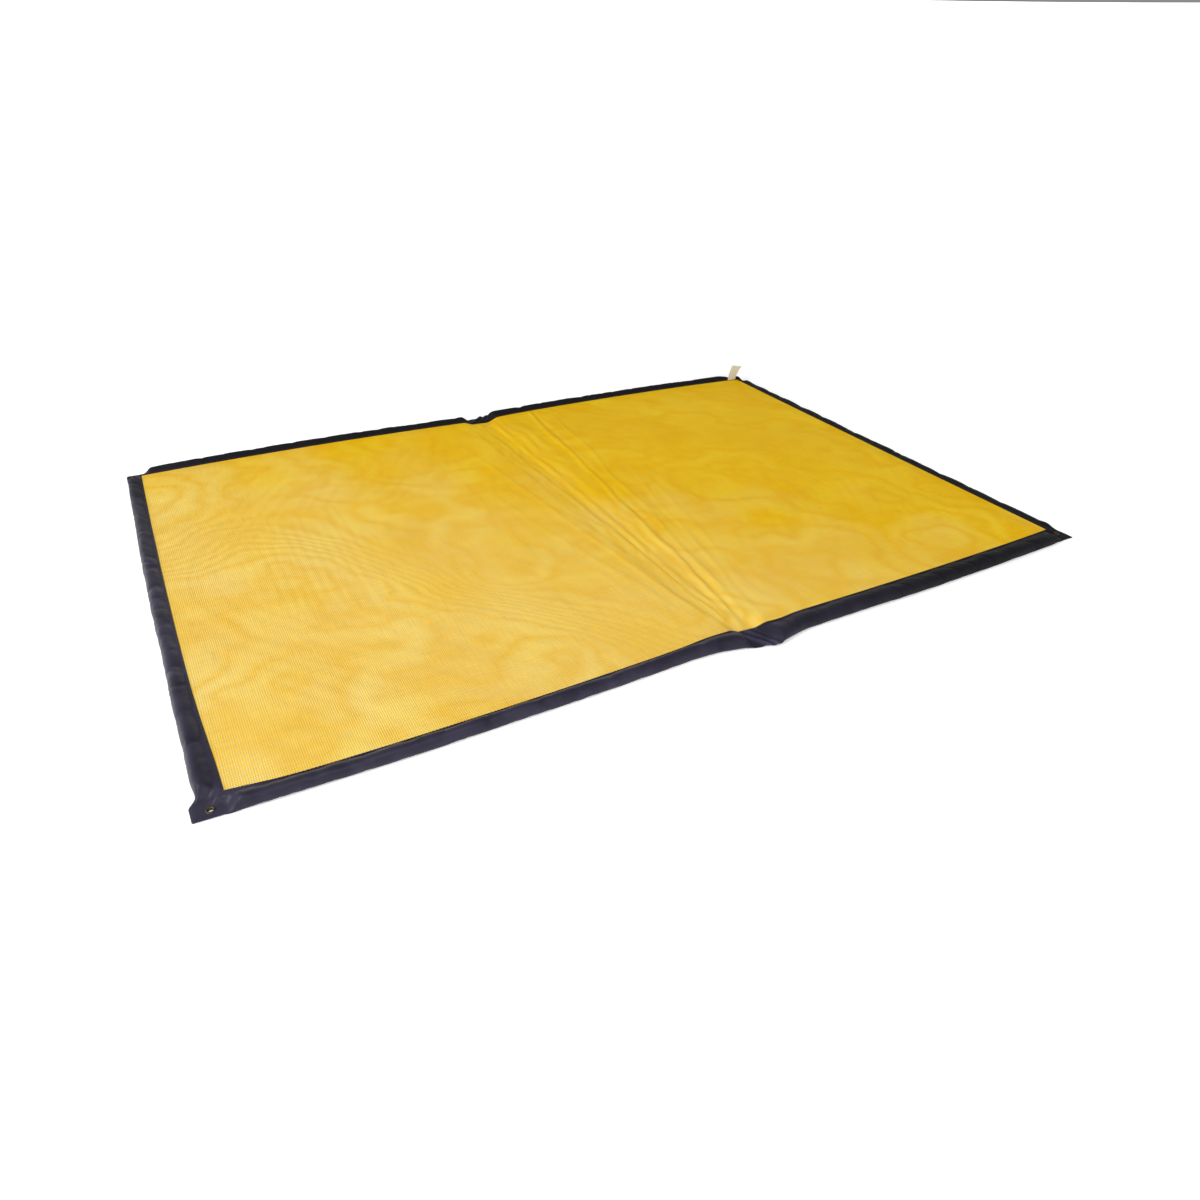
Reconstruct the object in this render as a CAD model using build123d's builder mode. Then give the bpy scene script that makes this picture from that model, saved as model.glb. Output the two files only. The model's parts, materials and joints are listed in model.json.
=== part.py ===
"""Folding spill mat: a waterproof base, two absorbent pads under a mesh top, and a foam-cored border.

The mat lies on the floor and folds in half, mesh to mesh, about two soft lines beside the middle.
Frame: origin at the centre of the underside, +X along the length, +Y towards the back, +Z up. Millimetres.
"""
import math
import os

from build123d import *

# ---- driving dimensions ----
length = 1500.0          # over the end borders
width = 1000.0           # over the front and back borders
base_thickness = 1.0     # coated base fabric
pad_thickness = 7.5      # needle-felt absorbent
mesh_thickness = 1.2     # coated mesh of the top
border_width = 26.0      # outer edge to the stitched inner fold
bund_height = 17.0       # crest of the border above the floor
bund_shoulder = 11.0     # outer edge to the crest
side_bulge = 1.8         # foam's outer side at its widest, in from the sleeve
side_share = 0.62        # height of the widest place, as a share of the crest
slope_out = 1.6          # how far the inner slope's middle stands off a straight line, inwards
slope_up = 1.2           # and upwards
sleeve_thickness = 1.0   # border fabric over the foam
lip_width = 4.0          # border fabric that laps over the mesh
edge_return = 3.0        # border fabric turned round the base's edge
corner_reach = 6.0       # flat corner, with no foam in it: how far it goes on past the seams
tab_thickness = 3.2      # folded fabric of a corner tab
fold_gap = 66.0          # between the foam ends, across the middle
slope_run = 12.0         # where the mesh comes down from the pad to the fold
crest_clearance = 2.2    # between the borders of the two halves when the mat is folded
fold_thickness = 4.0     # pinched border fabric at the middle
fold_bulge = 10.0        # how far the pinched fabric stands out
hinge_clearance = 0.15   # each side of a fold line
hinge_rise = 0.6         # fold lines above the pinched fabric
rim_height = 0.3         # eyelet flange's edge
eyelet_inset = 13.5      # eyelet centre to the tab's outer edges
eyelet_hole_radius = 3.0
eyelet_wall = 0.7
eyelet_flange_radius = 5.7
eyelet_flange_height = 1.1
thread_width = 0.8
thread_height = 0.4
label_width = 24.0
label_height = 46.0
label_thickness = 1.2
label_inset = 2.0        # label's edge to the corner of the mesh
label_lean = 10.0        # degrees outwards from upright
label_clearance = 0.3    # above the border's lip
label_round = 2.0        # rounded top corners

# ---- places worked out from them ----
field_edge = border_width - lip_width                  # the pad and mesh stop here, in from the outer edge
pad_top = base_thickness + pad_thickness
mesh_top = pad_top + mesh_thickness
lip_top = mesh_top + sleeve_thickness
fold_mesh_top = base_thickness + mesh_thickness
corner_length = border_width + corner_reach
half_length = length / 2
half_width = width / 2
half_gap = fold_gap / 2
half_field = half_width - field_edge
hinge_z = fold_thickness + hinge_rise
hinge_spacing = 2 * (bund_height - hinge_z) + crest_clearance   # so that the halves fold flat, border on border
hinge_x = hinge_spacing / 2
panel_start = hinge_x + hinge_clearance                # a panel's pieces begin here
strip_end = hinge_x - hinge_clearance                  # the fold strip's pieces end here
barrel_radius = eyelet_hole_radius + eyelet_wall
long_run = half_length - corner_length - half_gap
end_run = width - 2 * corner_length
thread_line = border_width - lip_width / 2

sides = {"left": -1, "right": 1}
edges = {"front": -1, "back": 1}
os.makedirs("parts", exist_ok=True)


def save(piece, name):
    piece.part.label = name
    export_step(piece.part, f"parts/{name}.step")
    print(f"{name:30s} {len(piece.part.solids())} solid(s) {piece.part.volume:12.0f} mm3")


def slab(x_range, y_range, z_range, mode=Mode.ADD):
    """A block between two x, two y and two z values, in the part being built."""
    (x0, x1), (y0, y1), (z0, z1) = x_range, y_range, z_range
    with Locations(((x0 + x1) / 2, (y0 + y1) / 2, z0)):
        Box(abs(x1 - x0), abs(y1 - y0), z1 - z0, align=(Align.CENTER, Align.CENTER, Align.MIN), mode=mode)


# ---- sections of the border: x in from the outer edge, y up ----
foam_crest = bund_height - sleeve_thickness

# foam: flat below, a round outer side, a crest over the shoulder and a slope down to the mesh
with BuildSketch() as bund_section:
    with BuildLine():
        ThreePointArc(
            (edge_return, base_thickness),
            (sleeve_thickness + side_bulge, foam_crest * side_share),
            (bund_shoulder, foam_crest),
        )
        ThreePointArc(
            (bund_shoulder, foam_crest),
            ((bund_shoulder + field_edge) / 2 + slope_out, (foam_crest + mesh_top) / 2 + slope_up),
            (field_edge, mesh_top),
        )
        Line((field_edge, mesh_top), (field_edge, base_thickness))
        Line((field_edge, base_thickness), (edge_return, base_thickness))
    make_face()

# sleeve: from the floor, over the foam, to a lip on the mesh
with BuildSketch() as sleeve_section:
    add(bund_section.sketch)
    offset(amount=sleeve_thickness)
    with Locations((field_edge, 0)):
        Rectangle(border_width, 2 * bund_height, align=(Align.MIN, Align.CENTER), mode=Mode.SUBTRACT)
    with Locations((edge_return, base_thickness)):
        Rectangle(border_width, bund_height, align=(Align.MIN, Align.MAX), mode=Mode.SUBTRACT)
    with Locations((field_edge - sleeve_thickness, mesh_top)):
        Rectangle(lip_width + sleeve_thickness, sleeve_thickness, align=(Align.MIN, Align.MIN))
    add(bund_section.sketch, mode=Mode.SUBTRACT)

# ---- the straight runs of the border: where each starts, which way is in, and its length ----
runs = {
    "front_left": (Plane((-half_length + corner_length, -half_width, 0), (0, 1, 0), (1, 0, 0)), long_run),
    "front_right": (Plane((half_gap, -half_width, 0), (0, 1, 0), (1, 0, 0)), long_run),
    "back_right": (Plane((half_length - corner_length, half_width, 0), (0, -1, 0), (-1, 0, 0)), long_run),
    "back_left": (Plane((-half_gap, half_width, 0), (0, -1, 0), (-1, 0, 0)), long_run),
    "end_left": (Plane((-half_length, half_width - corner_length, 0), (1, 0, 0), (0, -1, 0)), end_run),
    "end_right": (Plane((half_length, -half_width + corner_length, 0), (-1, 0, 0), (0, 1, 0)), end_run),
}

for run, (plane, run_length) in runs.items():
    # foam rod that holds the border up
    with BuildPart() as foam:
        with BuildSketch(plane):
            add(bund_section.sketch)
        extrude(amount=run_length)
    save(foam, f"foam_bund_{run}")

    # sleeve of border fabric over it
    with BuildPart() as sleeve:
        with BuildSketch(plane):
            add(sleeve_section.sketch)
        extrude(amount=run_length)
    save(sleeve, f"border_sleeve_{run}")

    # row of thread that holds the lip to the mesh
    with BuildPart() as thread:
        with BuildSketch(plane):
            with Locations((thread_line, lip_top)):
                Rectangle(thread_width, thread_height, align=(Align.CENTER, Align.MIN))
        extrude(amount=run_length)
    save(thread, f"seam_thread_{run}")

for side, sx in sides.items():
    field_x = (sx * panel_start, sx * (half_length - field_edge))
    field_y = (-half_field, half_field)
    eyelet_x = sx * (half_length - eyelet_inset)

    # waterproof base, holed for the eyelets' washers
    with BuildPart() as base:
        slab(
            (sx * panel_start, sx * (half_length - edge_return)),
            (-half_width + edge_return, half_width - edge_return),
            (0, base_thickness),
        )
        with Locations(*[(eyelet_x, sy * (half_width - eyelet_inset), base_thickness) for sy in edges.values()]):
            Hole(eyelet_flange_radius, depth=base_thickness)
    save(base, f"base_sheet_{side}")

    # absorbent pad between the border and the fold
    with BuildPart() as pad:
        slab((sx * (half_gap + slope_run), field_x[1]), field_y, (base_thickness, pad_top))
    save(pad, f"absorbent_pad_{side}")

    # mesh top: level on the pad, down a slope, and level again to the fold line
    with BuildPart() as mesh:
        with BuildSketch(Plane.XZ.offset(-half_field)):
            with BuildLine():
                top = [
                    (field_x[1], mesh_top),
                    (sx * (half_gap + slope_run), mesh_top),
                    (sx * half_gap, fold_mesh_top),
                    (field_x[0], fold_mesh_top),
                ]
                bottom = [(x, z - mesh_thickness) for x, z in reversed(top)]
                Polyline(*top, *bottom, close=True)
            make_face()
        extrude(amount=2 * half_field)
    save(mesh, f"mesh_top_{side}")

    for edge, sy in edges.items():
        corner = f"{edge}_{side}"
        outer = (sx * half_length, sy * half_width)
        eyelet_y = sy * (half_width - eyelet_inset)

        # flat corner tab: a plate, a wall up the pad's corner and a lip over the mesh
        with BuildPart() as tab:
            reach = [sx * (half_length - corner_length), sy * (half_width - corner_length)]
            for inset, z_range in (
                (0, (0, tab_thickness)),
                (field_edge - sleeve_thickness, (tab_thickness, lip_top)),
            ):
                slab((outer[0] - sx * inset, reach[0]), (outer[1] - sy * inset, reach[1]), z_range)
            for inset, z_range in (
                (field_edge, (0, mesh_top)),
                (border_width, (mesh_top, lip_top)),
            ):
                slab((outer[0] - sx * inset, reach[0]), (outer[1] - sy * inset, reach[1]), z_range, Mode.SUBTRACT)
            slab(
                (outer[0] - sx * edge_return, reach[0]),
                (outer[1] - sy * edge_return, reach[1]),
                (0, base_thickness),
                Mode.SUBTRACT,
            )
            with Locations((eyelet_x, eyelet_y, tab_thickness)):
                Hole(barrel_radius, depth=tab_thickness)
        save(tab, f"corner_tab_{corner}")

        # eyelet: flange on the tab and a barrel down through it
        with BuildPart() as eyelet:
            with BuildSketch(Plane.XZ):
                with BuildLine():
                    Polyline(
                        (eyelet_hole_radius, 0),
                        (barrel_radius, 0),
                        (barrel_radius, tab_thickness),
                        (eyelet_flange_radius, tab_thickness),
                        (eyelet_flange_radius, tab_thickness + rim_height),
                    )
                    ThreePointArc(
                        (eyelet_flange_radius, tab_thickness + rim_height),
                        ((eyelet_flange_radius + eyelet_hole_radius) / 2, tab_thickness + eyelet_flange_height),
                        (eyelet_hole_radius, tab_thickness + rim_height),
                    )
                    Line((eyelet_hole_radius, tab_thickness + rim_height), (eyelet_hole_radius, 0))
                make_face()
            revolve(axis=Axis.Z)
        eyelet.part.locate(Location((eyelet_x, eyelet_y, 0)))
        save(eyelet, f"eyelet_{corner}")

        # washer under the tab, level with the base
        with BuildPart() as washer:
            with BuildSketch(Plane.XY):
                with Locations((eyelet_x, eyelet_y)):
                    Circle(eyelet_flange_radius)
                    Circle(barrel_radius, mode=Mode.SUBTRACT)
            extrude(amount=base_thickness)
        save(washer, f"eyelet_washer_{corner}")

# ---- the fold strip between the two fold lines ----
with BuildPart() as strip_base:
    slab((-strip_end, strip_end), (-half_width + edge_return, half_width - edge_return), (0, base_thickness))
save(strip_base, "base_sheet_fold")

with BuildPart() as strip_mesh:
    slab((-strip_end, strip_end), (-half_field, half_field), (base_thickness, fold_mesh_top))
save(strip_mesh, "mesh_top_fold")

# pinched border at each end of the fold: one piece in the strip and one in each panel
for edge, sy in edges.items():
    y_edge = sy * half_width
    y_bulge = sy * (half_width + fold_bulge)
    y_inner = sy * (half_width - border_width)
    outlines = {
        "middle": [(-strip_end, y_inner), (-strip_end, y_bulge), (strip_end, y_bulge), (strip_end, y_inner)],
    }
    for side, sx in sides.items():
        outlines[side] = [
            (sx * panel_start, y_inner),
            (sx * panel_start, y_bulge),
            (sx * half_gap, y_edge),
            (sx * half_gap, y_inner),
        ]
    for place, outline in outlines.items():
        with BuildPart() as pinch:
            with BuildSketch(Plane.XY):
                with BuildLine():
                    Polyline(*outline, close=True)
                make_face()
            extrude(amount=fold_thickness)
            slab(
                (-half_gap, half_gap),
                (sy * (half_width - edge_return), y_inner),
                (0, base_thickness),
                Mode.SUBTRACT,
            )
            slab((-half_gap, half_gap), (sy * half_field, y_inner), (0, fold_mesh_top), Mode.SUBTRACT)
        save(pinch, f"border_fold_{edge}_{place}")

# ---- care label, sewn into the back seam at the right-hand corner ----
label_centre = half_length - border_width - label_inset - label_width / 2
lean = math.radians(label_lean)
label_plane = Plane(
    origin=(label_centre, half_width - border_width, lip_top + label_clearance),
    x_dir=(1, 0, 0),
    z_dir=(0, -math.cos(lean), math.sin(lean)),
)
with BuildPart() as label:
    with BuildSketch(label_plane):
        Rectangle(label_width, label_height, align=(Align.CENTER, Align.MIN))
    extrude(amount=-label_thickness)
    fillet(label.edges().filter_by(Axis.Y, tolerance=label_lean + 1).group_by(Axis.Z)[-1], label_round)
save(label, "care_label")

print(f"fold lines at x = +-{hinge_x}, z = {hinge_z}; border crests {crest_clearance} mm apart when folded")
print(f"label hinge at x = {label_centre}, y = {half_width - border_width}, z = {lip_top + label_clearance}")
print(f"eyelets {length - 2 * eyelet_inset} by {width - 2 * eyelet_inset}, hole radius {eyelet_hole_radius}")
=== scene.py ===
# %% [markdown]
# # A folding spill mat
#
# The mat lies under a machine and catches what leaks. A dark coated border with foam in it stands a little
# proud of a yellow mesh top, felt under the mesh soaks up the leak, and the whole mat folds in half across
# the middle. The measured frame comes first: every piece below is made round it, in metres.

import json
import math

import bpy
import bmesh
import numpy as np
from mathutils import Matrix, Vector


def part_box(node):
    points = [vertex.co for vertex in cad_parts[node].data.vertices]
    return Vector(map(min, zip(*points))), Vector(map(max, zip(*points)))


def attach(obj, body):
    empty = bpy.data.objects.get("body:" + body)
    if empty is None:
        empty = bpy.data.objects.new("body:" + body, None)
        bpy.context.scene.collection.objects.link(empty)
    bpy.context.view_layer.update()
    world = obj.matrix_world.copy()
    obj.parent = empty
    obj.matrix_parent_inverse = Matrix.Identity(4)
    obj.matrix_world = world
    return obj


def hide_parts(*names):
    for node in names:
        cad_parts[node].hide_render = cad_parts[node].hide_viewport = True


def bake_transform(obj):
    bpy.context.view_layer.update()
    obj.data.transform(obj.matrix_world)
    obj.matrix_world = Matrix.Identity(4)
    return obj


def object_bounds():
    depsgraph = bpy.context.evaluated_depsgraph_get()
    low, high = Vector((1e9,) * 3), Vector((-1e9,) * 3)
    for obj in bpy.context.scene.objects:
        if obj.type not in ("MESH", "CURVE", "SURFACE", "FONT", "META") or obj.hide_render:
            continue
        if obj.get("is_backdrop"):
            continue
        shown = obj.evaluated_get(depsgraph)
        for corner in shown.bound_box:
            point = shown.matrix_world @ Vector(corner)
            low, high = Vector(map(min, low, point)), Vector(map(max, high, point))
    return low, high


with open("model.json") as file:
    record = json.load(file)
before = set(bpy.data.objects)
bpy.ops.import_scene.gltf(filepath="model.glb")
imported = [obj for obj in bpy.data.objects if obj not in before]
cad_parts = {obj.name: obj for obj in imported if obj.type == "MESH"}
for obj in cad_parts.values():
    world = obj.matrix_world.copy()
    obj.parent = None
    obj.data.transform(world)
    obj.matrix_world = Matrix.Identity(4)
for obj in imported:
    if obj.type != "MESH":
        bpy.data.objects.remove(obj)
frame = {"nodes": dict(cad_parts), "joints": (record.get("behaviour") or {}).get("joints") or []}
cad_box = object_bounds()
scene = bpy.context.scene
mm = 0.001

# %% [markdown]
# ## Measures
#
# A tailor works from a few seams. The stitched inner edge of the border is the main one here: the mesh ends
# under it and the border starts on it. The numbers are read from the frame, so the cloth fits the part it
# covers.

# %% Seams and heights
outer_x, outer_y = (abs(v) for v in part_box("corner_tab_front_left")[0].xy)
seam_x = abs(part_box("border_sleeve_end_left")[1].x)
seam_y = abs(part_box("border_sleeve_front_left")[1].y)
crest_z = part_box("border_sleeve_front_left")[1].z
felt_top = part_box("absorbent_pad_left")[1].z
pad_end = abs(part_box("absorbent_pad_left")[1].x)
border_width = outer_x - seam_x
hinge = {j["name"]: Vector(j["pos_m"]) for j in frame["joints"]}
hinge_x = hinge["right_fold"].x
print(f"outside {outer_x:.3f} x {outer_y:.3f}, seam {seam_x:.3f} x {seam_y:.3f}, crest {crest_z:.4f}")


# %% [markdown]
# ## How the mat lies
#
# Cloth over foam is never a straight box. Each half's long edges bow out a little, the border is lower at
# the right-hand end, and it is flat where it has no foam: at the corners and at the fold. Those few facts
# are kept in small functions, and every piece is laid with the same ones, so that neighbours still meet.

# %% The lie of the cloth
def smooth(t):
    """0 below 0, 1 above 1, and an easy curve between."""
    t = np.clip(t, 0, 1)
    return t * t * (3 - 2 * t)


def hump(x, middle, width):
    """1 at the middle, and falling off over the width on both sides."""
    return np.exp(-(((x - middle) / width) ** 2))


def uneven(x, y, size, seed, waves=7):
    """Smooth hand-made unevenness, about -1 to 1, with swells of about that size."""
    draw = np.random.default_rng(seed)
    total = np.zeros(np.shape(x))
    for _ in range(waves):
        heading, phase = draw.uniform(0, 2 * math.pi, 2)
        pitch = size * draw.uniform(0.7, 1.5)
        across = x * math.cos(heading) + y * math.sin(heading)
        total = total + np.sin(across * 2 * math.pi / pitch + phase)
    return total / (1.3 * math.sqrt(waves))


fold_skew = 13 * mm  # how far the fold is off the middle at the seams
foam_start, foam_rise = 27 * mm, 20 * mm  # where the foam starts from a corner, and the length it swells over


def from_fold(x, y):
    """Distance from the middle of the fold, which runs askew: to the right in front, to the left behind."""
    return x + fold_skew * y / seam_y


def off_corner(x, y):
    """0 on the flat corner tabs, 1 along the foam."""
    return smooth((np.maximum(outer_x - np.abs(x), outer_y - np.abs(y)) - foam_start) / foam_rise)


def off_fold(x, y):
    """0 where the fold pinches the border flat, 1 along the foam. In front the left roll has a blunt nose."""
    nose = smooth((-from_fold(x, y) - 9 * mm) / (17 * mm)) * smooth(-y / seam_y * 4 - 2)
    return np.maximum(smooth((np.abs(from_fold(x, y)) - 19 * mm) / (24 * mm)), nose)


def pinched(x, y):
    """1 in the middle of the fold, 0 away from it."""
    return 1 - smooth((np.abs(from_fold(x, y)) - 6 * mm) / (42 * mm))


def settle(x, y, height, outside):
    """The border stands a little uneven, and at the right-hand end it has sunk to just above the seam."""
    above = np.maximum(height - 10.5 * mm, 0)
    right = smooth((x / seam_x - 0.93) / 0.07)
    sunk = np.where(outside, 0.3 * height, 0.76 * above) * right
    return height + above * 0.13 * uneven(x, y, 0.23, 3) * (1 - right) - sunk


def seam_height(x, y):
    """Height of the stitched seam: up on the felt, and down at the fold."""
    return 2.4 * mm + 6.8 * mm * off_fold(x, y)


def lay(points):
    """Moves flat points to where the cloth lies: the long edges bow out between the corners and the fold."""
    x, y, z = points.T
    half = np.clip(np.abs(x) / seam_x, 0, 1)
    swell = np.sin(math.pi * half) ** 0.8
    front = np.where(x < 0, 10.5 * (0.65 + 0.5 * half), 6.5) * mm * swell**0.8
    front = front - 3 * mm * hump(x, -50 * mm, 40 * mm) + 4 * mm * hump(x, 72 * mm, 30 * mm)
    back = np.where(x < 0, 12.0 * swell, 18.0 * swell**0.6 * (1.1 - 0.4 * half)) * mm
    across = np.clip(y / seam_y, -1.1, 1.1)
    ends = np.cos(np.clip(y / outer_y, -1, 1) * math.pi / 2) ** 0.8
    new_y = y + np.where(across > 0, back * across**2, -front * across**2)
    reach = np.clip(x / seam_x, -1.1, 1.1)
    new_x = x + np.where(reach < 0, -5.0, -2.0) * mm * ends * reach**4
    return np.column_stack([new_x, new_y, z])


middle_bow = lay(np.array([[-seam_x / 2, -seam_y, 0.0]]))[0, 1] + seam_y
print(f"the front edge of the left half bows by {-middle_bow / mm:.1f} mm")

# %% [markdown]
# ## Working habits
#
# Every new piece starts as a primitive with nothing else selected, and its points are read and written as
# one numpy table, which is much quicker than one point at a time.

# %% Points, primitives and edit mode
def read(piece):
    """A mesh's points as rows of x, y, z."""
    points = np.zeros(len(piece.data.vertices) * 3)
    piece.data.vertices.foreach_get("co", points)
    return points.reshape(-1, 3)


def write(piece, points):
    piece.data.vertices.foreach_set("co", np.asarray(points, float).ravel())
    piece.data.update()


def start(name, add, **size):
    """Adds a primitive with nothing else selected, names it, and returns it."""
    bpy.ops.object.select_all(action="DESELECT")
    add(**size)
    piece = bpy.context.object
    piece.name = piece.data.name = name
    return piece


def only(piece):
    bpy.ops.object.select_all(action="DESELECT")
    piece.select_set(True)
    bpy.context.view_layer.objects.active = piece


def edit(piece):
    """Opens a piece in edit mode with everything on it selected."""
    only(piece)
    bpy.ops.object.mode_set(mode="EDIT")
    bpy.ops.mesh.select_all(action="SELECT")


def done():
    bpy.ops.object.mode_set(mode="OBJECT")


# %% [markdown]
# A finished piece keeps nothing live: its modifiers are applied, and its place is in its mesh, as in the
# measured parts. That way the pieces can be exported, printed and measured one by one.

# %% Walls, copies and places
def apply_all(piece):
    """Applies every modifier on the piece, in order."""
    only(piece)
    for modifier in list(piece.modifiers):
        bpy.ops.object.modifier_apply(modifier=modifier.name)


def set_place(piece):
    """Puts the piece's place, turn and size into its mesh."""
    only(piece)
    bpy.ops.object.transform_apply(location=True, rotation=True, scale=True)


def give_wall(piece, thickness, offset):
    wall = piece.modifiers.new("Solidify", "SOLIDIFY")
    wall.thickness, wall.offset = thickness, offset
    apply_all(piece)


def round_off(piece, angle=40):
    only(piece)
    bpy.ops.object.shade_smooth_by_angle(angle=math.radians(angle))


def copy_of(piece, name):
    made = piece.copy()
    made.data = piece.data.copy()
    made.name = made.data.name = name
    scene.collection.objects.link(made)
    return made


print("places and walls go into the mesh")

# %% [markdown]
# A piece that runs across the fold could stay whole and follow two hinges, but each hinge joins only two
# bodies. So it is cut in two along the middle of the fold strip, into a left and a right half.

# %% Cut in two
def cut_away(piece, place, normal, close=False):
    """Cuts off what lies on the normal's side of the plane. A closed piece is closed again over the cut."""
    edit(piece)
    bpy.ops.mesh.bisect(plane_co=place, plane_no=normal, clear_outer=True, use_fill=close)
    done()


def halves(piece, name, close=False):
    """Cuts a piece in two along the middle of the fold, and removes the whole one."""
    made = []
    for side, away in (("left", (1, 0, 0)), ("right", (-1, 0, 0))):
        half = copy_of(piece, f"{name}_{side}")
        cut_away(half, (0, 0, 0), away, close)
        made.append(half)
    bpy.data.objects.remove(piece)
    return made


def bend_halves(left, right):
    """Puts each half's place into its mesh; the halves are not bent into the fold strip."""
    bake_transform(left)
    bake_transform(right)


print("fold lines at", [round(hinge[name].x / mm, 1) for name in ("left_fold", "right_fold")], "mm")

# %% [markdown]
# A short simulation finds the small rucks and puffs that a hand would not think of. Gravity is off, because
# the cloth already lies where it should, and the movement is eased off to a greatest value, so it can't
# spoil a size.

# %% Cloth simulation
cloth_frames = 12


def simulate(piece, held, growth, pressure, bending):
    """Holds some points, lets the rest grow and fill with air, and returns how far each point moved."""
    before = read(piece)
    group = piece.vertex_groups.new(name="held")
    group.add([int(i) for i in np.flatnonzero(held)], 1.0, "REPLACE")
    cloth = piece.modifiers.new("Cloth", "CLOTH")
    cloth.settings.vertex_group_mass = "held"
    cloth.settings.quality = 4
    cloth.settings.mass = 0.15
    cloth.settings.tension_stiffness = cloth.settings.compression_stiffness = 12
    cloth.settings.shear_stiffness = 4
    cloth.settings.bending_stiffness = bending
    cloth.settings.air_damping = 3
    cloth.settings.shrink_min = -growth
    cloth.settings.use_pressure = True
    cloth.settings.uniform_pressure_force = pressure
    cloth.collision_settings.use_collision = False
    cloth.settings.effector_weights.gravity = 0
    cloth.point_cache.frame_start, cloth.point_cache.frame_end = 1, cloth_frames
    for number in range(1, cloth_frames + 1):
        scene.frame_set(number)
    evaluated = piece.evaluated_get(bpy.context.evaluated_depsgraph_get())
    after = np.zeros(len(piece.data.vertices) * 3)
    evaluated.data.vertices.foreach_get("co", after)
    piece.modifiers.clear()
    piece.vertex_groups.clear()
    scene.frame_set(1)
    return after.reshape(-1, 3) - before


def capped(distance, most):
    """Eases a distance off towards a greatest value."""
    return most * np.tanh(distance / most)


print("a movement of 2 mm under a cap of 1 mm becomes", round(float(capped(2.0, 1.0)), 2), "mm")

# %% [markdown]
# ## Finishes
#
# Each finish is a small tree of shader nodes. Two sockets are joined in many places, so short helpers keep
# the finishes readable.

# %% Node helpers
def nodes_of(tree):
    """Short ways to add a node and to join two sockets."""
    def add(kind, **settings):
        node = tree.nodes.new(kind)
        for key, value in settings.items():
            setattr(node, key, value)
        return node

    def math_node(operation, a, b=None):
        node = add("ShaderNodeMath", operation=operation)
        for socket, value in zip(node.inputs, (a, b)):
            if isinstance(value, (int, float)):
                socket.default_value = value
            elif value is not None:
                tree.links.new(value, socket)
        return node.outputs[0]

    return add, math_node, tree.links.new


print("finishes so far:", len(bpy.data.materials))

# %% [markdown]
# The weave is one group used by more than one cloth: it draws round yarns over and under each other, and
# says where the holes between them are. An image of cloth would be quicker, but it blurs close up and has
# to be unwrapped.

# %% Weave
def weave_group():
    """Square weave: Pitch in metres, Yarn as a share of the pitch. Gives a Hole mask and a Height."""
    group = bpy.data.node_groups.new("Square weave", "ShaderNodeTree")
    for name, value in (("Pitch", 0.0028), ("Yarn", 0.6)):
        group.interface.new_socket(name, in_out="INPUT", socket_type="NodeSocketFloat").default_value = value
    for name in ("Hole", "Height"):
        group.interface.new_socket(name, in_out="OUTPUT", socket_type="NodeSocketFloat")
    add, calc, join = nodes_of(group)
    given, result = add("NodeGroupInput"), add("NodeGroupOutput")
    split = add("ShaderNodeSeparateXYZ")
    join(add("ShaderNodeTexCoord").outputs["Object"], split.inputs[0])
    half_yarn = calc("MULTIPLY", given.outputs["Yarn"], 0.5)
    rise = []
    for axis in "XY":
        step = calc("DIVIDE", split.outputs[axis], given.outputs["Pitch"])
        other = calc("DIVIDE", split.outputs["Y" if axis == "X" else "X"], given.outputs["Pitch"])
        from_yarn = calc("PINGPONG", step, 0.5)
        across = calc("DIVIDE", from_yarn, half_yarn)
        profile = calc("SQRT", calc("MAXIMUM", calc("SUBTRACT", 1.0, calc("MULTIPLY", across, across)), 0.0))
        over = calc("COSINE", calc("MULTIPLY", calc("ADD", other, calc("ROUND", step)), math.pi))
        flip = 0.25 if axis == "X" else -0.25
        lift = calc("ADD", 0.75, calc("MULTIPLY", over, flip))
        rise.append(calc("MULTIPLY", profile, lift))
    height = calc("MAXIMUM", *rise)
    join(height, result.inputs["Height"])
    join(calc("LESS_THAN", height, 0.12), result.inputs["Hole"])
    return group


weave = weave_group()
print("weave:", len(weave.nodes), "nodes")

# %% [markdown]
# A finish has a shader, a noise in metres, colour ramps and mixes, and a bump for what is too fine to
# model.

# %% Colour and bump helpers

def new_finish(name, roughness=0.6):
    """A material with its Principled shader, and the helpers to build on it."""
    material = bpy.data.materials.new(name)
    material.use_nodes = True
    tree = material.node_tree
    shader = tree.nodes["Principled BSDF"]
    shader.inputs["Roughness"].default_value = roughness
    return material, tree, shader


def blotches(tree, scale, detail=3.0, stretch=(1, 1, 1)):
    """A noise over the piece, in metres."""
    add, _, join = nodes_of(tree)
    place = add("ShaderNodeMapping")
    place.inputs["Scale"].default_value = stretch
    join(add("ShaderNodeTexCoord").outputs["Object"], place.inputs["Vector"])
    noise = add("ShaderNodeTexNoise")
    noise.inputs["Scale"].default_value = scale
    noise.inputs["Detail"].default_value = detail
    join(place.outputs[0], noise.inputs["Vector"])
    return noise.outputs["Fac"]


def ramp(tree, value, stops):
    """A colour ramp from (place, colour) stops."""
    add, _, join = nodes_of(tree)
    node = add("ShaderNodeValToRGB")
    while len(node.color_ramp.elements) < len(stops):
        node.color_ramp.elements.new(0.5)
    for element, (place, colour) in zip(node.color_ramp.elements, stops):
        element.position = place
        element.color = (*colour, 1)
    join(value, node.inputs[0])
    return node.outputs[0]


def mix(tree, factor, a, b, way="MIX"):
    """Mixes two colours. Each may be a colour or a socket."""
    add, _, join = nodes_of(tree)
    node = add("ShaderNodeMix", data_type="RGBA", blend_type=way)
    for socket, value in zip((node.inputs[0], node.inputs[6], node.inputs[7]), (factor, a, b)):
        if isinstance(value, (int, float)):
            socket.default_value = value
        elif isinstance(value, tuple):
            socket.default_value = (*value, 1)
        else:
            join(value, socket)
    return node.outputs[2]


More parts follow.
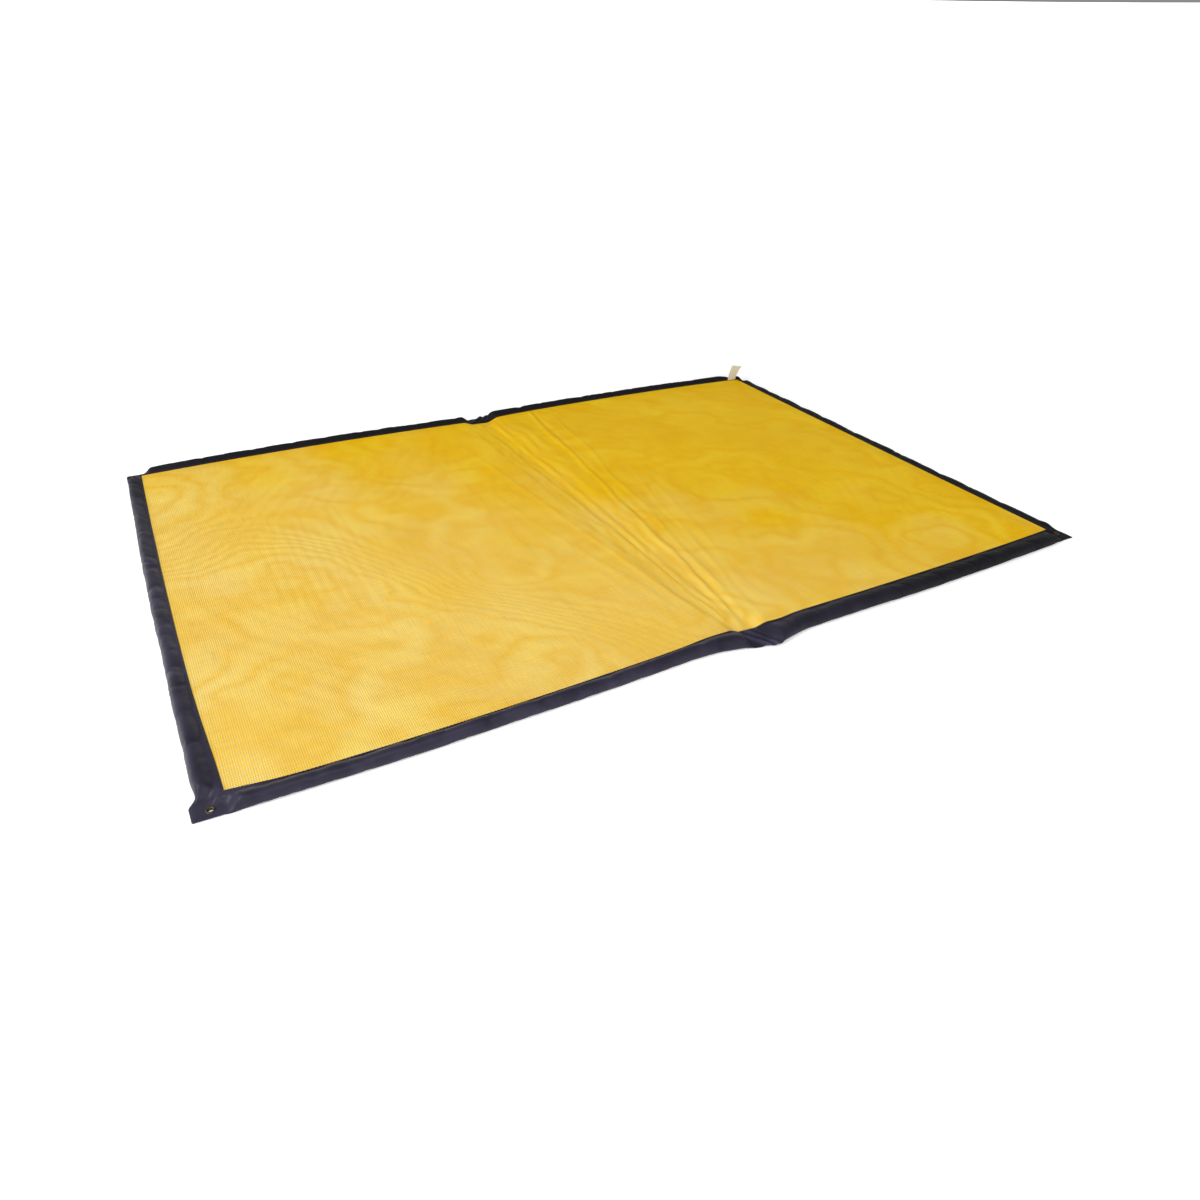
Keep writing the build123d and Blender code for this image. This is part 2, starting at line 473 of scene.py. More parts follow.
def bump(tree, shader, height, distance, strength=1.0):
    """Feeds a height into the shader's normal, after any bump that is already there."""
    add, _, join = nodes_of(tree)
    node = add("ShaderNodeBump")
    node.inputs["Strength"].default_value = strength
    node.inputs["Distance"].default_value = distance
    join(height, node.inputs["Height"])
    if shader.inputs["Normal"].links:
        join(shader.inputs["Normal"].links[0].from_socket, node.inputs["Normal"])
    join(node.outputs[0], shader.inputs["Normal"])


print("helpers for", len(weave.interface.items_tree), "weave sockets, colours and bumps are ready")

# %% [markdown]
# ## Yellow mesh
#
# The yellow mesh is a coated yarn, nine to the inch. Seen from a distance the pale felt in its holes beats
# with the yarns, and soft contour bands of paler and deeper yellow run over the cloth wherever it rises and
# falls. They could be drawn with a noise, but they belong to this cloth's own swells, so each point of the
# mesh top carries a number, its band, and the finish turns that number into stripes with a sine.

# %% Yellow mesh
def mesh_finish():
    material, tree, shader = new_finish("yellow_mesh", 0.6)
    add, calc, join = nodes_of(tree)
    cloth = add("ShaderNodeGroup", node_tree=weave)
    cloth.inputs["Pitch"].default_value = 2.8 * mm
    cloth.inputs["Yarn"].default_value = 0.5
    contour = calc("MULTIPLY", add("ShaderNodeAttribute", attribute_name="band").outputs["Fac"], 2 * math.pi)
    band = calc("ADD", calc("MULTIPLY", calc("SINE", contour), 0.5), 0.5)
    patchy = ramp(tree, blotches(tree, 4.5, 1.0), [(0.35, (0.4,) * 3), (0.6, (1.0,) * 3)])
    band = calc("MULTIPLY", calc("POWER", band, 0.55), patchy)
    yarn = mix(tree, band, (0.90, 0.51, 0.002), (0.95, 0.64, 0.022))
    cloudy = ramp(tree, blotches(tree, 7.0, 5.0), [(0.42, (0.0,) * 3), (0.7, (0.35,) * 3)])
    yarn = mix(tree, cloudy, yarn, (0.84, 0.44, 0.001))
    for stretch in ((22.0, 380.0, 1.0), (380.0, 22.0, 1.0)):
        streaks = ramp(tree, blotches(tree, 1.0, 2.0, stretch), [(0.3, (0.94,) * 3), (0.7, (1.05,) * 3)])
        yarn = mix(tree, 1.0, yarn, streaks, "MULTIPLY")
    seen = add("ShaderNodeAttribute", attribute_name="felt_seen").outputs["Fac"]
    felt = mix(tree, band, (0.86, 0.76, 0.42), (0.90, 0.88, 0.72))
    felt = mix(tree, seen, (0.83, 0.47, 0.002), felt)
    join(mix(tree, cloth.outputs["Hole"], yarn, felt), shader.inputs["Base Color"])
    join(calc("ADD", 0.5, calc("MULTIPLY", cloth.outputs["Hole"], 0.4)), shader.inputs["Roughness"])
    shader.inputs["Specular IOR Level"].default_value = 0.05
    bump(tree, shader, cloth.outputs["Height"], 0.7 * mm, 0.4)
    return material


finish = {"mesh": mesh_finish()}
print("yellow mesh:", len(finish["mesh"].node_tree.nodes), "nodes")

# %% [markdown]
# ## Dark and plain cloths, and brass
#
# The border is a navy, nearly black coated cloth with a very fine grain. Its colour is painted lighter at the
# front left, where the key light falls, and darker at the back right as painted shade. Painted highlight on
# the tops of its folds and painted shade in the hollows make the folds readable. So each point of the border
# carries a number, its relief, and the painted light on the finish grows with it. The plain cloths differ
# only in colour, gloss and grain, so they share one recipe and a table.

# %% Border, base, thread, felt, foam, brass and label finishes
def coated_finish(name, low, high, roughness):
    """Dark blotchy cloth, painted lighter at the front left and darker at the back right, with painted
    highlight on the tops of its folds and painted shade in the hollows.
    """
    material, tree, shader = new_finish(name, roughness)
    add, calc, join = nodes_of(tree)
    shader.inputs["Specular IOR Level"].default_value = 0.22
    shader.inputs["Sheen Weight"].default_value = 0.03
    shader.inputs["Sheen Roughness"].default_value = 0.4
    split = add("ShaderNodeSeparateXYZ")
    join(add("ShaderNodeTexCoord").outputs["Object"], split.inputs[0])
    # Painted light and shade: a mask from the front left (0) to the back right (1). Towards the back right
    # the colour turns near black as painted shade, and the cloth is also rougher there.
    painted_shade_back_right = add("ShaderNodeMapRange", interpolation_type="SMOOTHSTEP")
    painted_shade_back_right.inputs["From Min"].default_value, painted_shade_back_right.inputs["From Max"].default_value = -0.75, 0.0
    join(calc("ADD", split.outputs["X"], split.outputs["Y"]), painted_shade_back_right.inputs["Value"])
    dusty = ramp(tree, blotches(tree, 24.0, 5.0), [(0.35, low), (0.68, high)])
    # Painted shade: towards the back right the blotchy tone fades to a fifth of the darker colour.
    colour = mix(tree, painted_shade_back_right.outputs[0], dusty, tuple(c * 0.2 for c in low))
    # Painted highlight and shade on the folds: the colour is multiplied up to 3.4 times on the fold tops and
    # down to 0.3 in the hollows.
    fold_relief_for_painted_light = add("ShaderNodeAttribute", attribute_name="relief").outputs["Fac"]
    shade = ramp(tree, fold_relief_for_painted_light, [(0.0, (0.3,) * 3), (0.3, (1.0,) * 3), (0.5, (1.25,) * 3), (0.8, (3.4,) * 3)])
    join(mix(tree, 1.0, colour, shade, "MULTIPLY"), shader.inputs["Base Color"])
    dull = calc("ADD", roughness - 0.08, calc("MULTIPLY", painted_shade_back_right.outputs[0], 0.35))
    join(calc("ADD", dull, calc("MULTIPLY", blotches(tree, 60.0, 3.0), 0.16)), shader.inputs["Roughness"])
    cloth = add("ShaderNodeGroup", node_tree=weave)
    cloth.inputs["Pitch"].default_value = 0.9 * mm
    cloth.inputs["Yarn"].default_value = 0.95
    bump(tree, shader, cloth.outputs["Height"], 0.12 * mm, 0.35)
    bump(tree, shader, blotches(tree, 170.0, 3.0), 0.5 * mm, 0.25)
    return material


def plain_cloth_finish(name, low, high, roughness, scale, depth):
    """Felt, tape and thread: a two-tone noise with a bump of the same grain."""
    material, tree, shader = new_finish(name, roughness)
    grain = blotches(tree, scale, 6.0)
    _, _, join = nodes_of(tree)
    join(ramp(tree, grain, [(0.3, low), (0.7, high)]), shader.inputs["Base Color"])
    bump(tree, shader, grain, depth, 0.6)
    return material


def brass_finish():
    """Old brass: dark, rubbed bright in patches."""
    material, tree, shader = new_finish("antique_brass", 0.42)
    _, calc, join = nodes_of(tree)
    wear = blotches(tree, 420.0, 5.0)
    stops = [(0.35, (0.025, 0.020, 0.012)), (0.68, (0.18, 0.14, 0.075))]
    join(ramp(tree, wear, stops), shader.inputs["Base Color"])
    shader.inputs["Metallic"].default_value = 1.0
    join(calc("ADD", 0.3, calc("MULTIPLY", wear, 0.3)), shader.inputs["Roughness"])
    bump(tree, shader, wear, 0.15 * mm, 0.3)
    return material


plain_cloths = {  # name, low colour, high colour, roughness, grain, depth of the grain in millimetres
    "base": ("black_base_cloth", (0.008, 0.008, 0.011), (0.018, 0.018, 0.023), 0.6, 240.0, 0.2),
    "felt": ("grey_white_felt", (0.55, 0.52, 0.44), (0.80, 0.77, 0.68), 0.95, 320.0, 0.8),
    "foam": ("charcoal_foam", (0.03, 0.03, 0.033), (0.075, 0.075, 0.08), 0.9, 900.0, 0.5),
    "thread": ("black_thread", (0.006, 0.006, 0.010), (0.03, 0.03, 0.045), 0.55, 1600.0, 0.2),
    "label": ("cream_tape", (0.56, 0.50, 0.34), (0.70, 0.64, 0.47), 0.55, 700.0, 0.2),
}
finish["border"] = coated_finish("navy_coated_cloth", (0.017, 0.0145, 0.030), (0.034, 0.029, 0.056), 0.42)
for use, (*look, depth) in plain_cloths.items():
    finish[use] = plain_cloth_finish(*look, depth * mm)
finish["brass"] = brass_finish()
print("finishes:", ", ".join(sorted(finish)))


def dress(piece, name):
    """Gives a piece one finish in place of any it had."""
    piece.data.materials.clear()
    piece.data.materials.append(finish[name])


# %% [markdown]
# ## Mesh top
#
# The top is one sheet, tacked down all round under the border and slack enough to ruck. It could be
# displaced with noise, but real rucks start at the stitches and die out towards the middle, so the sheet is
# cut a little too big and a short cloth simulation, held at its edges, finds the small ones. The long
# creases that fan out from the two ends of the fold are laid in one by one, because they come from years of
# folding and not from slack.

# %% Height of the mesh
# x in front, x behind, width and height in millimetres, then the reach along y, from front 0 to back 1
creases = [
    (10, 10, 4.5, 1.8, 0.0, 1.0),
    (20, 108, 3.6, 2.2, 0.0, 1.0),
    (27, 121, 4.2, -1.4, 0.0, 1.0),
    (36, 160, 4.0, 1.3, 0.05, 0.85),
    (2, -30, 4.0, 1.5, 0.0, 1.0),
    (-14, -52, 5.0, -0.9, 0.1, 1.0),
    (-12, -130, 4.5, 1.1, 0.0, 0.7),
    (-34, -220, 6.0, 0.7, 0.05, 0.5),
    (52, 230, 5.0, 0.9, 0.0, 0.5),
    (78, 260, 6.0, 0.6, 0.1, 0.6),
    (150, 360, 9.0, 0.5, 0.2, 0.8),
    (330, 520, 12.0, 0.5, 0.0, 0.4),
]


def nearest_seam(x, y):
    to_end = seam_x - np.abs(x) < seam_y - np.abs(y)
    return np.where(to_end, np.copysign(seam_x, x), x), np.where(to_end, y, np.copysign(seam_y, y))


def field_height(x, y):
    """Height of the mesh: on the felt, down at the edges and into the fold, with its swells and creases."""
    edge = np.minimum(seam_x - np.abs(x), seam_y - np.abs(y))
    inside = smooth(edge / (30 * mm))
    low = seam_height(*nearest_seam(x, y))
    fold = smooth((np.abs(from_fold(x, y)) - 2 * mm) / (46 * mm))
    body = 6.4 * mm + (felt_top - 5.2 * mm) * fold
    swells = (0.9 * uneven(x, y, 0.36, 11) + 0.45 * uneven(x, y, 0.13, 12)) * mm * fold * inside
    share = (y + seam_y) / (2 * seam_y)
    rucks = np.zeros(np.shape(x))
    for number, (front, back, width, height, low_end, high_end) in enumerate(creases):
        wander = 3.5 * uneven(y, x * 0, 0.19, 40 + number) + 1.2 * uneven(y, x * 0, 0.05, 70 + number)
        away = (x / mm - front - (back - front) * share - wander) / width
        fade = smooth((share - low_end + 0.04) / 0.1) * (1 - smooth((share - high_end) / 0.2))
        rucks = rucks + height * mm * fade * np.exp(-(away**2))
    return low + (body - low) * inside + swells + rucks * smooth(edge / (16 * mm))


def band_number(x, y):
    """Contour bands: crowded along one long swell on the left, wide and blotchy elsewhere."""
    swell_line = 0.13 - 0.64 * smooth((x + 0.62) / 0.62) + 0.02 * uneven(x, y, 0.3, 51)
    lens = np.exp(-(((x + 0.29) / 0.13) ** 2) - (((y + 0.19) / 0.05) ** 2))
    crowd = 4.6 * np.tanh((y - swell_line) / 0.085) * (1 - smooth((x + 0.06) / 0.14))
    blots = 1.1 * uneven(x, y, 0.42, 52) + 0.45 * uneven(x, y, 0.16, 53) + 0.22 * uneven(x, y, 0.06, 54)
    return crowd + 1.2 * lens + blots


print("creases:", len(creases))

# %% [markdown]
# The sheet is a fine grid, a little larger than the seams so that its edge is tucked under the border. The
# rucks from the simulation are only a fraction of a millimetre here, so they are eased off to a small
# greatest value.

# %% Lay the mesh top
tuck = 3 * mm
top = start("mesh_sheet", bpy.ops.mesh.primitive_grid_add, x_subdivisions=340, y_subdivisions=156, size=2)
edit(top)
bpy.ops.transform.resize(value=(seam_x + tuck, seam_y + tuck, 1), center_override=(0, 0, 0))
done()
points = read(top)
x, y, _ = points.T
edge = np.minimum(seam_x + tuck - np.abs(x), seam_y + tuck - np.abs(y))
rise = np.zeros(len(x))
rise = simulate(top, edge < 3 * mm, growth=0.005, pressure=0.4, bending=1.2)[:, 2]
clear_of_fold = smooth((np.abs(x) - 0.3 * hinge_x) / pad_end)
rucks = capped(rise - rise.mean(), 0.3 * mm) * clear_of_fold * smooth(edge / (12 * mm))
points[:, 2] = field_height(x, y) + rucks
felt_seen = 0.29 - 0.5 * np.tanh((x + 1.1 * y + 0.1) / 0.5) + 0.12 * uneven(x, y, 0.2, 55)
for name, value in (("band", band_number(x, y)), ("felt_seen", np.clip(felt_seen, 0, 1))):
    top.data.attributes.new(name, "FLOAT", "POINT").data.foreach_set("value", value)
write(top, lay(points))
print("mesh top rucks by", round(float(np.ptp(rise)) / mm, 2), "mm")

# %% [markdown]
# ## Felt
#
# A pad of needled felt fills each half under the mesh. It is seen only through the holes and where a corner
# is lifted, but it has to follow the mesh exactly, or it would show through in patches. So it is made from
# the mesh itself: a copy, trimmed short of the seams and the fold, lowered by the cloth's thickness and
# extruded to the base.

# %% Felt pads
def felt_pad(side, sign):
    pad = copy_of(top, f"felt_{side}")
    short, below_mesh, above_floor = 4 * mm, 1.5 * mm, 1.4 * mm
    for place, normal in (
        ((sign * pad_end, 0, 0), (-sign, 0, 0)),
        ((sign * (seam_x - short), 0, 0), (sign, 0, 0)),
        ((0, seam_y - short, 0), (0, 1, 0)),
        ((0, short - seam_y, 0), (0, -1, 0)),
    ):
        cut_away(pad, place, normal)
    points = read(pad)
    points[:, 2] -= below_mesh
    write(pad, points)
    edit(pad)
    bpy.ops.mesh.extrude_region()
    bpy.ops.transform.resize(value=(1, 1, 0), center_override=(0, 0, above_floor))
    bpy.ops.mesh.select_all(action="SELECT")
    bpy.ops.mesh.normals_make_consistent(inside=False)
    done()
    dress(pad, "felt")
    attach(pad, f"{side}_panel")
    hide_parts(f"absorbent_pad_{side}")
    print(pad.name, len(pad.data.vertices), "points")


felt_pad("left", -1)
felt_pad("right", 1)

# %% [markdown]
# The top is now cut in two along the middle, and each half gets its thickness from Solidify. Cutting first
# keeps both halves closed all round, which a print or a measuring tool needs.

# %% Finish the mesh top
mesh_wall = 0.9 * mm
mesh_left, mesh_right = halves(top, "mesh_cloth")
for half in (mesh_left, mesh_right):
    give_wall(half, mesh_wall, -1)
    dress(half, "mesh")
    round_off(half, 60)
    side = half.name.rsplit("_", 1)[1]
    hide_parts(f"mesh_top_{side}", *(["mesh_top_fold"] if side == "left" else []))
bend_halves(mesh_left, mesh_right)
print("mesh halves:", len(mesh_left.data.vertices), "and", len(mesh_right.data.vertices), "points")

# %% [markdown]
# ## Border
#
# The border is one strip of coated cloth, wrapped over foam and sewn down on the mesh. A tube swept round a
# rectangle would give stiff mitres, so a wire rectangle is pulled outwards ring by ring instead, like
# knitting, until the last ring is back under the seam. Each ring then takes its place from the border's
# section, which is round over the foam and flat at the corners and the fold.

# %% Border section
# in from the outer edge and height, in millimetres, from the seam over the crest to the underside
over_foam = [
    (27.2, 8.6), (26.3, 9.5), (25.9, 10.5), (24.9, 11.1), (23.6, 10.7), (22.2, 11.2),
    (20.2, 12.9), (17.6, 14.9), (14.6, 16.3), (11.4, 17.0), (8.2, 16.6), (5.5, 15.0),
    (3.4, 12.4), (2.0, 9.2), (1.3, 5.9), (1.5, 3.0), (2.6, 1.0), (4.6, 0.25),
    (8.0, 0.1), (14.0, 0.1), (21.0, 0.15), (25.5, 0.6), (26.9, 3.6), (27.2, 8.6),
]
lying_flat = [
    (27.2, 2.0), (26.3, 2.6), (25.9, 3.4), (24.8, 3.9), (23.4, 3.5), (21.6, 3.5),
    (19.2, 3.4), (16.4, 3.3), (13.4, 3.3), (10.4, 3.3), (7.4, 3.2), (5.0, 3.1),
    (3.0, 2.9), (1.4, 2.5), (0.4, 2.0), (0.0, 1.5), (0.5, 0.8), (1.8, 0.3),
    (6.0, 0.1), (13.0, 0.1), (20.0, 0.15), (25.5, 0.4), (26.9, 1.0), (27.2, 2.0),
]
on_corner = [
    (27.2, 8.6), (26.3, 9.5), (25.9, 10.5), (24.9, 10.9), (23.4, 10.2), (21.6, 8.7),
    (19.8, 6.6), (17.8, 4.7), (15.4, 3.7), (12.4, 3.3), (8.4, 3.2), (5.4, 3.2),
    (3.2, 3.0), (1.4, 2.6), (0.4, 2.0), (0.0, 1.5), (0.5, 0.8), (1.8, 0.3),
    (6.0, 0.1), (13.0, 0.1), (20.0, 0.15), (25.5, 0.6), (26.9, 3.6), (27.2, 8.6),
]
lip, crest, last_side = 3, 9, 16  # the rings of the sewn lip, of the crest and of the last one off the floor
first_free = 5  # the first ring that may puff


def seam_length(x, y):
    """Distance along the seam from the back left corner, clockwise seen from above."""
    long_side = np.abs(np.abs(y) - seam_y) < np.abs(np.abs(x) - seam_x)
    front_or_back = np.where(y > 0, x + seam_x, 3 * seam_x + 2 * seam_y - x)
    end = np.where(x > 0, 2 * seam_x + seam_y - y, 4 * seam_x + 3 * seam_y + y)
    return np.where(long_side, front_or_back, end)


def gathers(along, share, seed, spacing, width):
    """Short puckers from the stitches, up to 1 deep. share runs from 0 at the seam to 1 at the floor."""
    draw = np.random.default_rng(seed)
    total = np.zeros(np.shape(along))
    for place in np.arange(0, 4 * (seam_x + seam_y), spacing):
        middle = place + draw.uniform(0, spacing)
        slant, size, broad = draw.uniform(-30, 30) * mm, draw.uniform(0.2, 1.0), draw.uniform(0.6, 1.5)
        reach = draw.uniform(0.25, 0.75)
        away = (along - middle - slant * share) / (width * broad)
        total += size * np.exp(-(away**2)) * np.exp(-((share / reach) ** 2))
    return total


def rolled_out(x, y):
    """How much further out the front of the border is squashed on the right, and less far on the left."""
    right = 11 * smooth((x - 0.015) / 0.035) - 4 * smooth((x - 0.655) / 0.06)
    left = 3 * smooth((-x - 0.06) / 0.05)
    return (right - left) * mm * smooth((-y / seam_y - 0.86) / 0.12)


print("rings:", len(over_foam), "of which the lip is", lip, "and the crest", crest)

# %% [markdown]
# One function says where any point of the border is. The cloth, the foam inside it and the stitches on it
# all ask it, so they agree. It starts from the three sections, and then adds what makes it cloth: a
# wandering edge, gathers at the stitches, sharp folds where the roll is pinched, and the odd shape of each
# corner.

# %% Place on the border
def on_border(x, y, ring):
    """Where a point of the seam goes when it is carried out to a ring, and how far folds lift it there."""
    stuffed, flat, tab = (np.array(section)[ring] * mm for section in (over_foam, lying_flat, on_corner))
    along, share = seam_length(x, y), np.clip(ring / 15, 0, 1)
    out_x, out_y = x * (outer_x - flat[:, 0]) / seam_x, y * (outer_y - flat[:, 0]) / seam_y
    corner, fold = off_corner(out_x, out_y), off_fold(out_x, out_y)
    stuffed[:, 1] = settle(out_x, out_y, stuffed[:, 1], ring > crest)
    shape = tab + (stuffed - tab) * corner[:, None]
    inward, height = (flat + (shape - flat) * fold[:, None]).T
    # the outer line wanders, and the cloth is gathered into the seam
    spread = 1 - np.clip(inward / border_width, 0, 1)
    inward = inward + spread * 1.0 * mm * uneven(along, along * 0, 0.19, 21) - spread * rolled_out(x, y)
    side = (ring >= lip) & (ring <= last_side)
    free = np.clip((height - 1.5 * mm) / (6 * mm), 0, 1) * side * (ring > lip) * (0.3 + 0.7 * corner)
    height = height + free * 0.5 * mm * uneven(along, share * 0.05, 0.07, 22)
    loose = free * (ring > first_free)
    relief = -loose * 1.7 * mm * gathers(along, share, 23, 30 * mm, 5 * mm)
    relief = relief - loose * 1.0 * mm * gathers(along, 0.8 - share, 24, 48 * mm, 6 * mm)
    # at the fold the flat cloth is pushed outwards, with a few sharp folds
    squeeze = pinched(x, y) * (np.abs(y) > seam_y - mm)
    beside = from_fold(x, y) - 9 * mm
    front_bulge = 20 * mm * hump(beside, 0, np.where(beside < 0, 70, 36) * mm)
    bulge = np.where(y < 0, front_bulge, 8 * mm * hump(beside, 0, 30 * mm)) * (np.abs(y) > seam_y - mm)
    inward = inward - bulge * spread
    # the front left corner of the seam is sewn further in
    wide = np.exp(-(((y + seam_y) / 0.14) ** 2) - ((x + seam_x) / 0.055) ** 2)
    inward = inward + 5.5 * mm * wide * smooth((inward - 23 * mm) / (3 * mm))
    for middle, slant, width, rise in ((-6, 34, 5, 5), (11, 28, 4.5, 5), (25, 26, 4.5, 4.5), (40, 30, 5, 3)):
        away = (from_fold(x, y) - (middle + slant * (spread - 0.5)) * mm) / (width * mm)
        relief = relief + squeeze * side * rise * mm * np.exp(-(away**2)) * smooth(spread / 0.15)
    # at the back right corner the cloth stands up beside the seam
    heap = (1 - corner) * side * (out_x > 0) * (out_y > 0) * smooth((inward - 15 * mm) / (6 * mm))
    height = height + 7 * mm * heap * (ring > 1)
    # two joins in the strip, on the left
    left = (x < 0.1 * mm - seam_x) & side
    height = height + left * 0.7 * mm * smooth((y - 0.086) / (3 * mm)) * (1 - smooth((y - 0.203) / (3 * mm)))
    new_x, new_y = x * (outer_x - inward) / seam_x, y * (outer_y - inward) / seam_y
    # the front left tab is pulled out to the left
    ear = smooth((-new_x - seam_x) / border_width) * smooth((40 * mm - outer_y - new_y) / (16 * mm))
    return lay(np.column_stack([new_x - 9 * mm * ear, new_y + 2 * mm * ear, height + relief])), relief


spot, _ = on_border(np.array([-seam_x / 2]), np.array([-seam_y]), np.array([crest]))
print("crest of the front left roll at", [round(float(v), 4) for v in spot[0]])

# %% [markdown]
# Now the wire rectangle: a plane without its face, cut finely along its sides, and pulled out edge by edge.
# A short simulation puffs the cloth between the seam and the floor, and the crest is eased off so that the
# two halves still clear each other when the mat is folded.

# %% Pull the border out of its seam
def border_cage():
    """Rings of a rectangle, each a millimetre higher and wider than the last: the height tells the ring."""
    cage = start("border_sheet", bpy.ops.mesh.primitive_plane_add, size=2)
    edit(cage)
    bpy.ops.transform.resize(value=(seam_x, seam_y, 1), center_override=(0, 0, 0))
    bpy.ops.mesh.delete(type="ONLY_FACE")
    # one subdivide makes at most a hundred cuts, so each side is cut twice
    for axis, cuts in ((0, 6), (0, 84), (1, 2), (1, 90)):
        bpy.ops.mesh.select_all(action="DESELECT")
        shape = bmesh.from_edit_mesh(cage.data)
        for line in shape.edges:
            a, b = line.verts
            line.select = abs(a.co[1 - axis] - b.co[1 - axis]) < mm and abs(a.co[axis] - b.co[axis]) > 0.1
        bmesh.update_edit_mesh(cage.data)
        bpy.ops.mesh.subdivide(number_cuts=cuts)
    bpy.ops.mesh.select_all(action="SELECT")
    for ring in range(1, len(over_foam)):
        bpy.ops.mesh.extrude_edges_indiv()
        wider = [(seam + ring * mm) / (seam + (ring - 1) * mm) for seam in (seam_x, seam_y)]
        bpy.ops.transform.resize(value=(*wider, 1), center_override=(0, 0, 0))
        bpy.ops.transform.translate(value=(0, 0, mm))
    done()
    return cage


border = border_cage()
points = read(border)
ring = np.rint(points[:, 2] / mm).astype(int)
x = points[:, 0] * seam_x / (seam_x + ring * mm)
y = points[:, 1] * seam_y / (seam_y + ring * mm)
placed, relief = on_border(x, y, ring)
# The relief is kept on each point for the finish, which paints highlight on the fold tops and shade in the
# hollows.
border.data.attributes.new("relief", "FLOAT", "POINT").data.foreach_set("value", 0.3 + relief / (9 * mm))
write(border, placed)
held = (ring < first_free) | (ring > last_side)
puffed = simulate(border, held, growth=0.008, pressure=1.0, bending=0.8)
placed = placed + capped(puffed, 0.5 * mm)
print("border puffs by", np.abs(puffed).max().round(4), "m")
proud = np.maximum(placed[:, 2] - crest_z, 0)
placed[:, 2] = np.clip(placed[:, 2], 0.05 * mm, crest_z) + capped(proud, 1.2 * mm)
write(border, placed)
edit(border)
bpy.ops.mesh.remove_doubles(threshold=0.02 * mm)
bpy.ops.mesh.normals_make_consistent(inside=False)
done()
print("border", len(border.data.vertices), "points")

# %% [markdown]
# ## Eyelets
#
# Brass eyelets are punched through the flat corners. The measured eyelets and their washers have the right
# shape, so they stay, and only get their brass. The cloth needs a real hole for them: a Boolean with a
# plain drum.

# %% Punch the corners
punch_radius, punch_depth = 3.75 * mm, 30 * mm
for name in frame["nodes"]:
    if name.startswith("eyelet") and not name.startswith("eyelet_washer"):
        low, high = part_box(name)
        centre = (low + high) / 2
        drum = start(
            "drum", bpy.ops.mesh.primitive_cylinder_add, vertices=40, radius=punch_radius, depth=punch_depth
        )
        drum.location = (centre.x, centre.y, 0)
        hole = border.modifiers.new("Hole", "BOOLEAN")
        hole.operation, hole.object, hole.solver = "DIFFERENCE", drum, "EXACT"
        apply_all(border)
        bpy.data.objects.remove(drum)
brass_nodes = [name for name in frame["nodes"] if name.startswith("eyelet")]
for name in brass_nodes:
    dress(bpy.data.objects[name], "brass")
print("in brass:", len(brass_nodes), "eyelets and washers")

# %% [markdown]
# The border is cut in two like the top, but closed over the cuts, because it is a tube and not a sheet.

# %% Finish the border
border_left, border_right = halves(border, "border", close=True)
for half in (border_left, border_right):
    dress(half, "border")
    round_off(half, 80)
    side = half.name.rsplit("_", 1)[1]
    parts = ("border_sleeve", "corner_tab", "border_fold")
    covered = [n for n in frame["nodes"] if n.startswith(parts) and n.endswith(side)]
    if side == "left":
        covered += ["border_fold_front_middle", "border_fold_back_middle"]
    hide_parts(*covered)
bend_halves(border_left, border_right)
print("border halves:", len(border_left.data.vertices), "and", len(border_right.data.vertices), "points")

# %% [markdown]
# ## Base
#
# The underside is a plain black coated cloth. It lies flat on the floor, so a grid with a little unevenness
# is enough.

# %% Base sheet
base = start("base_sheet", bpy.ops.mesh.primitive_grid_add, x_subdivisions=120, y_subdivisions=80, size=2)
edit(base)
under = 2 * mm
bpy.ops.transform.resize(value=(seam_x + under, seam_y + under, 1), center_override=(0, 0, 0))
done()
points = read(base)
x, y, _ = points.T
points[:, 2] = 0.45 * mm + 0.2 * mm * uneven(x, y, 0.2, 61)
write(base, lay(points))
base_wall = 0.7 * mm
base_left, base_right = halves(base, "base_cloth")
for half in (base_left, base_right):
    give_wall(half, base_wall, 1)
    dress(half, "base")
    side = half.name.rsplit("_", 1)[1]
    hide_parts(f"base_sheet_{side}", *(["base_sheet_fold"] if side == "left" else []))
bend_halves(base_left, base_right)
print("base halves:", len(base_left.data.vertices), "and", len(base_right.data.vertices), "points")

# %% [markdown]
# ## Foam
#
# Six rods of foam stiffen the border. They are hidden in it, and are made all the same, because the model
# is also used in parts. A rod is a drum whose round takes the border's own section, drawn in so that it
# never touches the cloth, and its ends taper.

